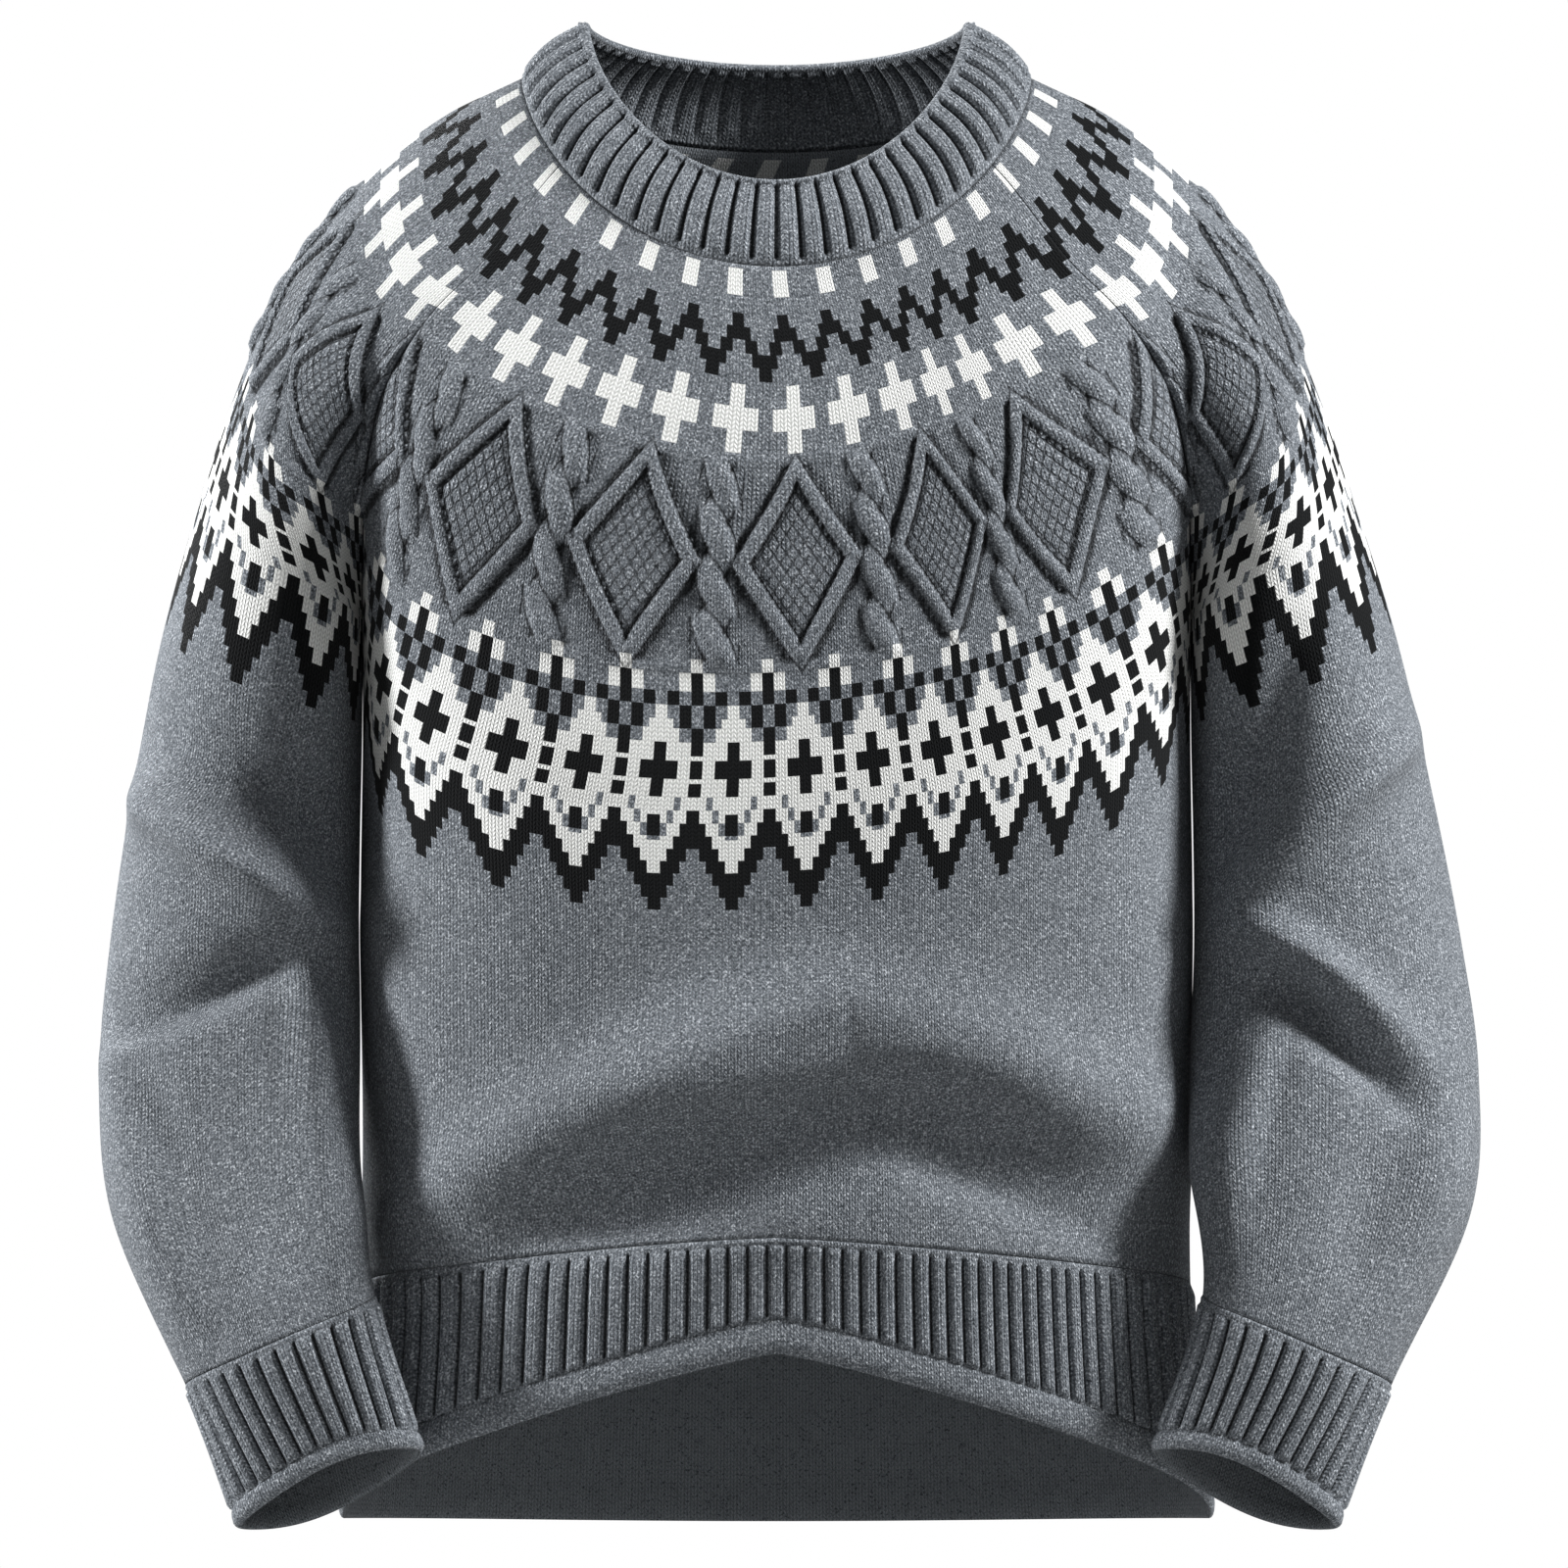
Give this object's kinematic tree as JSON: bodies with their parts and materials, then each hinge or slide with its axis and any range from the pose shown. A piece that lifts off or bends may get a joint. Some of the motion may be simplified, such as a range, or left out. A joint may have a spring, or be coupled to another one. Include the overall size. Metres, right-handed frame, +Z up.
{
  "type": "nordic yoke sweater",
  "caption": "Long-sleeved raglan pullover in fine knit with a patterned round yoke, cable and diamond band, ribbed collar, hem and cuffs, filled out as worn.",
  "frame": {"origin": "middle of the neck opening at the height of the shoulder points, where the garment hangs on the wearer's shoulders", "axes": "+X across the chest towards the wearer's left sleeve, -Y out of the chest, +Z up"},
  "size_m": [0.6315, 0.2539, 0.693],
  "materials": {
    "knit": "matte heather grey stocking stitch with off-white and near-black stranded pattern",
    "rib": "matte heather grey rib knit"
  },
  "bodies": {
    "root": {"front": "knit", "back": "knit", "sleeve_left": "knit", "sleeve_right": "knit", "collar": "rib", "hem_front": "rib", "hem_back": "rib", "cuff_left": "rib", "cuff_right": "rib"}
  },
  "joints": []
}
